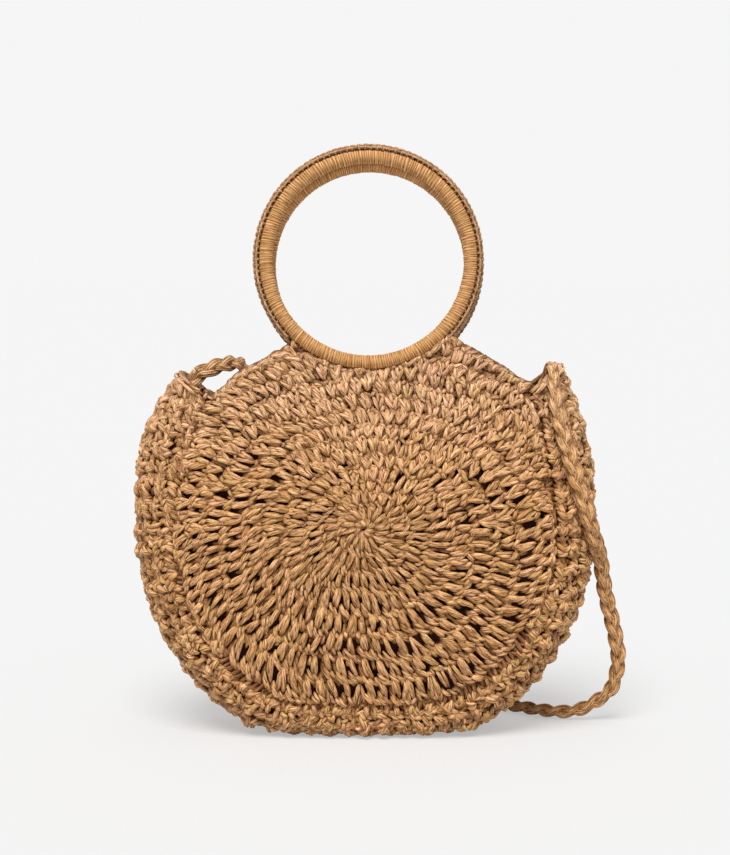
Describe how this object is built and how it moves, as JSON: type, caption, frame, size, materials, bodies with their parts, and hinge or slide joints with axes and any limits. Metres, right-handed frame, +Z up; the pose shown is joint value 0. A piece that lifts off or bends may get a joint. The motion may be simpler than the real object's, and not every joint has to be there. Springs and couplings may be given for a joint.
{
  "type": "half moon bag",
  "caption": "Crocheted straw handbag with round side panels, a curved gusset, two wrapped ring handles that fold outward and a plaited shoulder strap.",
  "frame": {"origin": "middle of the flat patch that the bag stands on, level with its lowest point", "axes": "+Z up through the ring handles, +X to the right seen from the front, front facing -Y"},
  "size_m": [0.3187, 0.1576, 0.3831],
  "materials": {
    "straw_crochet": "crocheted paper straw, satin",
    "straw_wrap": "wound paper straw, satin",
    "straw_plait": "plaited paper straw, satin",
    "ring_core": "plain",
    "lining_cloth": "matt woven cloth",
    "snap_metal": "plated"
  },
  "bodies": {
    "bag": {"front_panel": "straw_crochet", "back_panel": "straw_crochet", "gusset": "straw_crochet", "front_seam": "straw_crochet", "back_seam": "straw_crochet", "strap": "straw_plait", "strap_anchor_left": "straw_plait", "strap_anchor_right": "straw_plait", "lining_front": "lining_cloth", "lining_back": "lining_cloth", "lining_side": "lining_cloth", "slip_pocket": "lining_cloth", "snap_socket": "snap_metal", "snap_stud": "snap_metal", "snap_washer_front": "snap_metal", "snap_washer_back": "snap_metal"},
    "front_handle": {"front_handle_band": "straw_crochet", "front_ring_core": "ring_core", "front_ring_wrap": "straw_wrap", "front_ring_edging": "straw_wrap"},
    "back_handle": {"back_handle_band": "straw_crochet", "back_ring_core": "ring_core", "back_ring_wrap": "straw_wrap", "back_ring_edging": "straw_wrap"}
  },
  "joints": [
    {"name": "front_handle_fold", "type": "hinge", "parent": "bag", "child": "front_handle", "pos_m": [0, -0.018, 0.229], "axis": [1, 0, 0], "range_deg": [0, 135]},
    {"name": "back_handle_fold", "type": "hinge", "parent": "bag", "child": "back_handle", "pos_m": [0, 0.018, 0.224], "axis": [-1, 0, 0], "range_deg": [0, 135]}
  ]
}
